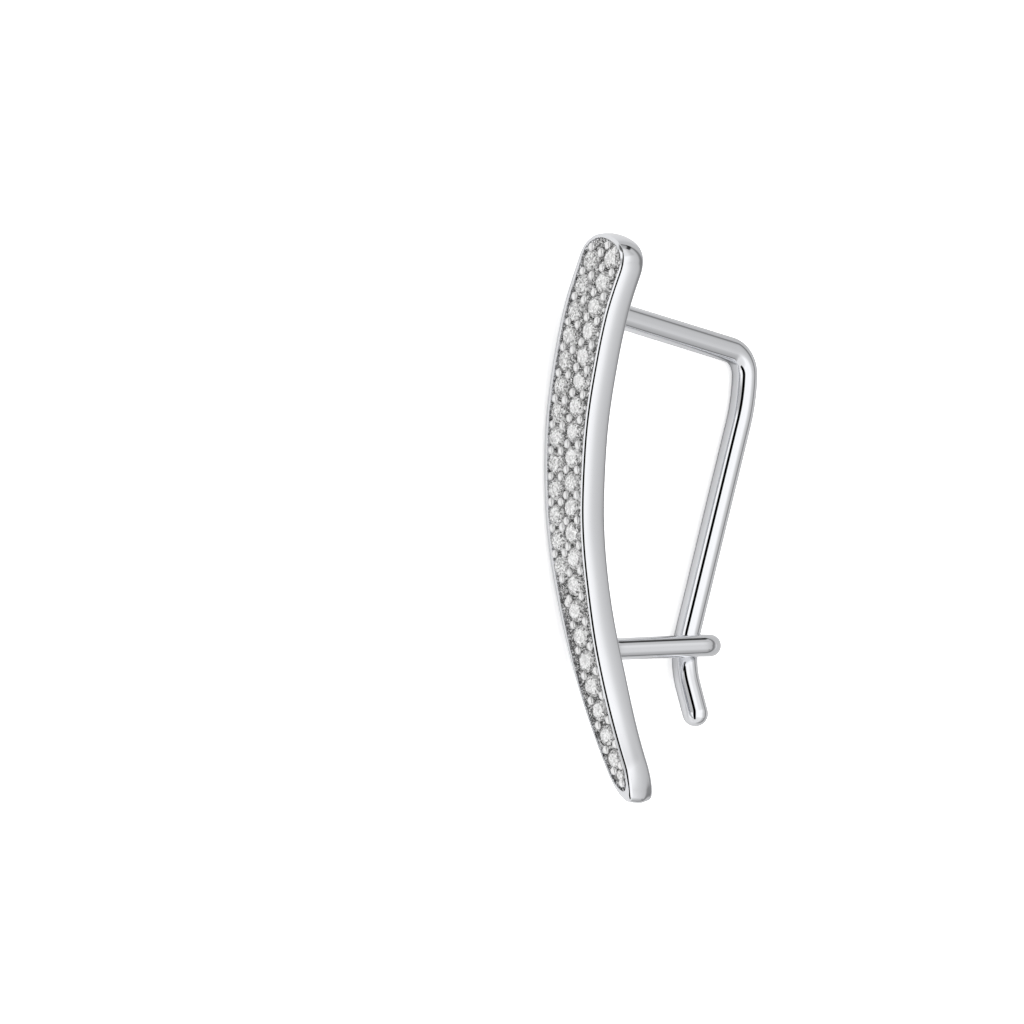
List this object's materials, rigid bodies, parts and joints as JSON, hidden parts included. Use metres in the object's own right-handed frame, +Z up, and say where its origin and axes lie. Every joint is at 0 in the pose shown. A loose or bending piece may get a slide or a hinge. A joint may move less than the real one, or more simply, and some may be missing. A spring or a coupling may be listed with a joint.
{
  "type": "hook earring",
  "caption": "Curved tapering ear climber with a paved stone face, a wire hook from its back and a small catch that holds the wire.",
  "frame": {"origin": "middle of the underside of the bounding box, with the earring lying on the floor", "axes": "+X along the bar from its wide end to its tip, +Y from the paved face towards the hook, +Z up from the floor"},
  "size_m": [0.0242, 0.0108, 0.0045],
  "materials": {
    "silver": "rhodium-plated silver, mirror polished",
    "pave": "clear brilliant stones bead-set in bright metal"
  },
  "bodies": {
    "root": {"bar_hook_and_catch": "silver", "paved_face": "pave"}
  },
  "joints": []
}
